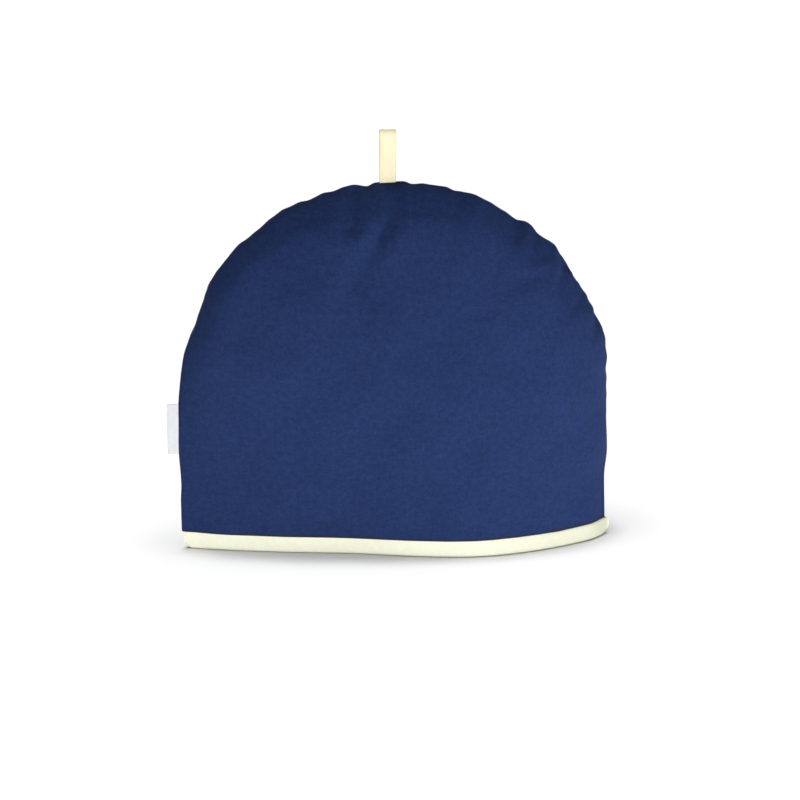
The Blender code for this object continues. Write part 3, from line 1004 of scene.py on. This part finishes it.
def add_tab(cloth):
    """The blank ribbon tab, folded once, with both ends in the left seam."""
    layer = TAB_CLOTH / 2 + SEAM_GAP
    fold_x = TAB_CLOTH / 2 + layer - HALF_WIDTH - TAB_PROUD
    root_x = TAB_SEATED - HALF_WIDTH
    straight = np.linspace(root_x, fold_x, TAB_LEG_POINTS)
    turn = np.linspace(-pi / 2, pi / 2, TAB_TURN_POINTS)[1:-1]
    line = [(x, -layer) for x in straight]
    line += [(fold_x - layer * cos(a), layer * sin(a)) for a in turn]
    line += [(x, layer) for x in straight[::-1]]
    profile = tape_profile(TAB_HEIGHT, TAB_CLOTH, TAB_BAND, TAB_GROOVE)

    def place(spot, across):
        bend = TAB_BEND["out"] * sin(across / TAB_HEIGHT * TAB_BEND["turn"] + TAB_BEND["phase"])
        freedom = smooth_step(-spot[0], HALF_WIDTH, HALF_WIDTH + TAB_PROUD)
        return (MIDDLE_X + spot[0], spot[1] + bend * freedom, TAB_CENTRE_Z - across)

    piece = add_strip("tab_ribbon", np.array(line), profile, place, cloth)
    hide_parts("side_label")
    return piece


# ---------------------------------------------------------------- materials


def maths(tree, operation, *values):
    """A Math node of sockets or numbers. Returns its output."""
    made = tree.nodes.new("ShaderNodeMath")
    made.operation = operation
    for entry, value in zip(made.inputs, values):
        if isinstance(value, (int, float)):
            entry.default_value = value
        else:
            tree.links.new(value, entry)
    return made.outputs[0]


def add_noise(tree, x, y, scale, detail):
    """A noise of two numbers, about 0.5."""
    place = tree.nodes.new("ShaderNodeCombineXYZ")
    tree.links.new(x, place.inputs[0])
    tree.links.new(y, place.inputs[1])
    noise = tree.nodes.new("ShaderNodeTexNoise")
    noise.inputs["Scale"].default_value = scale
    noise.inputs["Detail"].default_value = detail
    tree.links.new(place.outputs[0], noise.inputs["Vector"])
    return noise.outputs["Fac"]


def cloth_places(tree, turn):
    """The across and up coordinates on the cloth, in metres, turned by an angle."""
    uv = tree.nodes.new("ShaderNodeUVMap")
    uv.uv_map = "cloth"
    split = tree.nodes.new("ShaderNodeSeparateXYZ")
    tree.links.new(uv.outputs[0], split.inputs[0])
    across, upward = split.outputs[0], split.outputs[1]
    if turn == 0.0:
        return across, upward
    cosine, sine = cos(turn), sin(turn)

    def times(value, factor):
        return maths(tree, "MULTIPLY", value, factor)

    turned = maths(tree, "ADD", times(across, cosine), times(upward, sine))
    other = maths(tree, "SUBTRACT", times(upward, cosine), times(across, sine))
    return turned, other


def weave(tree, across, upward, pitch):
    """A plain weave. Returns its height, and 1 where the upright thread lies on top."""
    phase_u = maths(tree, "MULTIPLY", across, pi / pitch)
    phase_v = maths(tree, "MULTIPLY", upward, pi / pitch)
    wave_u = maths(tree, "SINE", phase_u)
    wave_v = maths(tree, "SINE", phase_v)
    product = maths(tree, "MULTIPLY", wave_u, wave_v)
    upright = maths(tree, "ADD", maths(tree, "ABSOLUTE", wave_u), product)
    lying = maths(tree, "SUBTRACT", maths(tree, "ABSOLUTE", wave_v), product)
    height = maths(tree, "MULTIPLY", maths(tree, "MAXIMUM", upright, lying), 0.5)
    return height, maths(tree, "GREATER_THAN", upright, lying)


def mix_colours(tree, factor, first, second):
    """A mix of two colours, each a colour or a socket. Returns its output."""
    made = tree.nodes.new("ShaderNodeMix")
    made.data_type = "RGBA"
    tree.links.new(factor, made.inputs["Factor"])
    for entry, colour in ((made.inputs[MIX_FIRST], first), (made.inputs[MIX_SECOND], second)):
        if isinstance(colour, tuple):
            entry.default_value = (*colour, 1.0)
        else:
            tree.links.new(colour, entry)
    return made.outputs[MIX_RESULT]


def new_material(name):
    """A material of nodes, with its node tree and its shader."""
    made = bpy.data.materials.new(name)
    made.use_nodes = True
    return made, made.node_tree, made.node_tree.nodes["Principled BSDF"]


def cloth_material(name, look):
    """A woven cloth. The colour goes from dark to light with its threads and its mottling, and
    darkens to a painted shade where the look gives a crease shade colour.
    """
    dark, light = COLOURS[name]["dark"], COLOURS[name]["light"]
    made, tree, shader = new_material(name)
    across, upward = cloth_places(tree, look["turn"])
    pitch = look["pitch"]

    drift = add_noise(tree, across, upward, DRIFT["scale"] / pitch, DRIFT["detail"])
    drift = maths(tree, "MULTIPLY", maths(tree, "SUBTRACT", drift, 0.5), DRIFT["reach"] * pitch)
    across = maths(tree, "ADD", across, drift)
    upward = maths(tree, "SUBTRACT", upward, drift)
    height, on_top = weave(tree, across, upward, pitch)

    long_u = maths(tree, "MULTIPLY", across, SLUB["stretch"])
    long_v = maths(tree, "MULTIPLY", upward, SLUB["stretch"])
    slub_up = add_noise(tree, across, long_v, SLUB["scale"] / pitch, SLUB["detail"])
    slub_lying = add_noise(tree, long_u, upward, SLUB["scale"] / pitch, SLUB["detail"])
    pick = tree.nodes.new("ShaderNodeMix")
    tree.links.new(on_top, pick.inputs["Factor"])
    tree.links.new(slub_lying, pick.inputs["A"])
    tree.links.new(slub_up, pick.inputs["B"])
    slub = pick.outputs["Result"]

    mottles = {}
    for kind in MOTTLES:
        mottles[kind] = add_noise(tree, across, upward, look[kind + "_scale"], MOTTLE_DETAIL)
    tone = maths(tree, "MULTIPLY", slub, look["slub"])
    for kind in MOTTLES:
        tone = maths(tree, "MULTIPLY_ADD", mottles[kind], look[kind], tone)
    tone = maths(tree, "MULTIPLY_ADD", height, look["depth"], tone)
    centre = 0.5 * sum(look[kind] for kind in ("slub", *MOTTLES)) + WEAVE_MEAN * look["depth"]
    tone = maths(tree, "ADD", maths(tree, "SUBTRACT", tone, centre), 0.5)

    colour = mix_colours(tree, tone, dark, light)
    # Painted shade: the colour darkens towards the crease shade colour where the mesh marks the
    # crease.
    if "crease_shade" in look:
        crease_shade_node = tree.nodes.new("ShaderNodeAttribute")
        crease_shade_node.attribute_name = "crease_shade"
        colour = mix_colours(tree, crease_shade_node.outputs["Fac"], colour, look["crease_shade"])
    tree.links.new(colour, shader.inputs["Base Color"])

    least = look["roughness"] - UNEVEN_ROUGHNESS / 2
    rough = maths(tree, "MULTIPLY_ADD", mottles["fine"], UNEVEN_ROUGHNESS, least)
    tree.links.new(rough, shader.inputs["Roughness"])
    shader.inputs["Specular IOR Level"].default_value = look["specular"]
    shader.inputs["Sheen Weight"].default_value = look["sheen"]
    shader.inputs["Sheen Roughness"].default_value = SHEEN_ROUGHNESS
    shader.inputs["Sheen Tint"].default_value = (*light, 1.0)

    relief_height = maths(tree, "MULTIPLY_ADD", slub, SLUB["bump"], height)
    bump = tree.nodes.new("ShaderNodeBump")
    bump.inputs["Strength"].default_value = look["bump"]
    bump.inputs["Distance"].default_value = BUMP_DEPTH * pitch
    tree.links.new(relief_height, bump.inputs["Height"])
    tree.links.new(bump.outputs[0], shader.inputs["Normal"])
    return made


def floor_material():
    """A plain matt floor."""
    made, _, shader = new_material("white_floor")
    shader.inputs["Base Color"].default_value = (FLOOR_TONE, FLOOR_TONE, FLOOR_TONE, 1.0)
    shader.inputs["Roughness"].default_value = FLOOR_ROUGHNESS
    shader.inputs["Specular IOR Level"].default_value = 0.0
    return made


# ---------------------------------------------------------------- camera, floor and light


def add_camera():
    """The camera at the photograph's viewing angle."""
    azimuth, elevation = radians(CAMERA_AZIMUTH), radians(CAMERA_ELEVATION)
    back = Vector((
        sin(azimuth) * cos(elevation),
        -cos(azimuth) * cos(elevation),
        sin(elevation),
    ))
    lens = bpy.data.cameras.new("camera")
    lens.lens = CAMERA_LENS
    lens.sensor_width = CAMERA_SENSOR
    camera = add_object("camera", lens)
    camera.location = Vector(CAMERA_TARGET) + back * CAMERA_DISTANCE
    camera.rotation_euler = (-back).to_track_quat("-Z", "Y").to_euler()
    bpy.context.scene.camera = camera


def add_floor():
    """A wide floor that fills the view."""
    sides = ((-1, -1), (1, -1), (1, 1), (-1, 1))
    corners = [(x * FLOOR_REACH, y * FLOOR_REACH, 0.0) for x, y in sides]
    mesh = bpy.data.meshes.new("floor")
    mesh.from_pydata(corners, [], [(0, 1, 2, 3)])
    mesh.materials.append(floor_material())
    floor = add_object("floor", mesh)
    return floor


def add_light(name, place, target, size, power):
    """A soft oblong light, of a width and a height, that shines from a place towards a target."""
    data = bpy.data.lights.new(name, "AREA")
    data.shape = "RECTANGLE"
    data.size, data.size_y = size
    data.energy = power
    light = add_object(name, data)
    light.location = place
    way = Vector(target) - Vector(place)
    light.rotation_euler = way.to_track_quat("-Z", "Y").to_euler()
    return light


def add_sun(row, floor_only):
    """A soft sun over the floor, which only the floor receives."""
    data = bpy.data.lights.new(row["name"], "SUN")
    data.energy = row["energy"]
    data.angle = radians(row["width"])
    sun = add_object(row["name"], data)
    sun.rotation_euler = (radians(row["from_front"]), radians(row["from_right"]), 0.0)
    sun.light_linking.receiver_collection = floor_only


def group_of(name, members):
    """A collection of objects for the lights' linking."""
    group = bpy.data.collections.new(name)
    for member in members:
        group.objects.link(member)
    return group


def add_lights(floor, panels, trim):
    """Lights before and behind the cosy, suns on the floor, and a white table's glow from below."""
    groups = {
        "panels": group_of("panels_only", panels),
        "trim": group_of("trim_only", trim),
        "cosy": group_of("cosy_only", panels + trim),
    }
    for row in LIGHTS:
        light = add_light(row["name"], row["place"], LIGHT_TARGET, row["size"], row["power"])
        if row["on"] in groups:
            light.light_linking.receiver_collection = groups[row["on"]]

    floor_only = group_of("floor_only", [floor])
    for row in SUNS:
        add_sun(row, floor_only)

    glow = add_light("table_glow", GLOW["place"], GLOW["target"], GLOW["size"], GLOW["power"])
    glow.light_linking.receiver_collection = groups["cosy"]
    glow.light_linking.blocker_collection = groups["cosy"]

    world = bpy.data.worlds.new("studio")
    world.use_nodes = True
    backdrop = world.node_tree.nodes["Background"]
    backdrop.inputs["Color"].default_value = (1.0, 1.0, 1.0, 1.0)
    backdrop.inputs["Strength"].default_value = WORLD_GLOW
    bpy.context.scene.world = world


def main():
    """Build the cosy around the frame, then the studio."""
    scene = bpy.context.scene
    scene.view_settings.view_transform = "Standard"
    add_camera()

    navy_look = {
        "turn": 0.0, "pitch": 0.00060,
        "grain_scale": 560.0, "fine_scale": 240.0, "broad_scale": 50.0,
        "slub": 0.9, "grain": 1.5, "fine": 1.7, "broad": 0.40, "depth": 0.3,
        "roughness": 0.90, "specular": 0.12, "sheen": 0.02, "bump": 0.45,
    }
    tape_look = dict(navy_look, turn=pi / 4, pitch=0.0004, roughness=0.85, bump=0.35)
    ribbon_look = dict(navy_look, pitch=0.00022, roughness=0.55, bump=0.2, specular=0.4)
    # The panels' painted shade colour for the line under the binding's upper edge.
    panel_look = dict(navy_look, crease_shade=(0.0260, 0.0280, 0.0560))
    navy = cloth_material("navy_cotton", panel_look)
    cream = cloth_material("cream_tape", tape_look)
    pale = cloth_material("pale_loop_tape", tape_look)
    white = cloth_material("white_ribbon", ribbon_look)

    front = add_panel("front_panel", "front_cloth", navy)
    back = add_panel("back_panel", "back_cloth", navy)
    binding = add_binding(cream)
    binding_stitches = add_binding_stitches(cream)
    loop = add_loop(pale)
    loop_stitches = add_loop_stitches(pale)
    tab = add_tab(white)

    for piece, slot in (
        (front, "panel_cloth"),
        (back, "panel_cloth"),
        (binding, "binding_tape"),
        (binding_stitches, "binding_tape"),
        (loop, "loop_tape"),
        (loop_stitches, "loop_tape"),
        (tab, "label_ribbon"),
    ):
        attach(piece, "root")

    add_lights(add_floor(), [front, back], [binding, binding_stitches, loop, loop_stitches, tab])


main()
